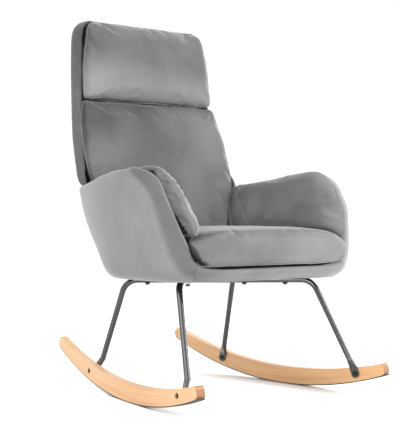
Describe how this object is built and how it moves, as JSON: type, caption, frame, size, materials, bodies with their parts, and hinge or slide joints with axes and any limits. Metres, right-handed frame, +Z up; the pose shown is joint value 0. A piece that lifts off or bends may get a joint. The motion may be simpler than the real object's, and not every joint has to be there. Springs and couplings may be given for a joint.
{
  "type": "rocking chair",
  "caption": "Upholstered high-back rocking chair with armrests, a loose seat cushion, two crossing bent-tube leg hoops and curved wooden rockers.",
  "frame": {"origin": "on the floor plane under the centre of the chair's outer box, standing at rest", "axes": "+Z up; -Y is the front of the seat; +X to the right-hand side as seen from the front"},
  "size_m": [0.6458, 0.8094, 1.042],
  "materials": {
    "velvet": "short-pile velvet with a soft sheen",
    "beech": "clear satin lacquer",
    "strip": "matt",
    "black_tube": "gloss powder coat",
    "black_hardware": "black zinc",
    "dark_hardware": "dark burnished",
    "spacer": "moulded",
    "zinc": "zinc plated",
    "lining": "thin non-woven lining",
    "strap": "woven elastic",
    "plywood": "raw sanded",
    "foam": "open-cell foam"
  },
  "bodies": {
    "root": {"rocker_left": "beech", "rocker_right": "beech", "grip_strip_left": "strip", "grip_strip_right": "strip", "leg_hoop_upper": "black_tube", "leg_hoop_lower": "black_tube", "rocker_bolts": "black_hardware", "rocker_washers": "black_hardware", "rocker_sleeve_nuts": "dark_hardware", "seat_bolts": "black_hardware", "seat_bolt_washers": "black_hardware", "bar_spacers": "spacer", "tee_nuts": "zinc", "dust_cover": "lining", "seat_board": "plywood", "deck_foam": "foam", "arm_board_left": "plywood", "arm_board_right": "plywood", "back_board": "plywood", "back_webbing": "strap", "front_rail": "plywood", "frame_brackets": "zinc", "bracket_screws": "zinc", "arm_shell_left": "velvet", "arm_shell_right": "velvet", "back_shell": "velvet", "front_border": "velvet", "arm_pad_left": "velvet", "arm_pad_right": "velvet", "back_pad": "velvet", "headrest_pad": "velvet", "seat_cushion": "velvet"}
  },
  "joints": []
}
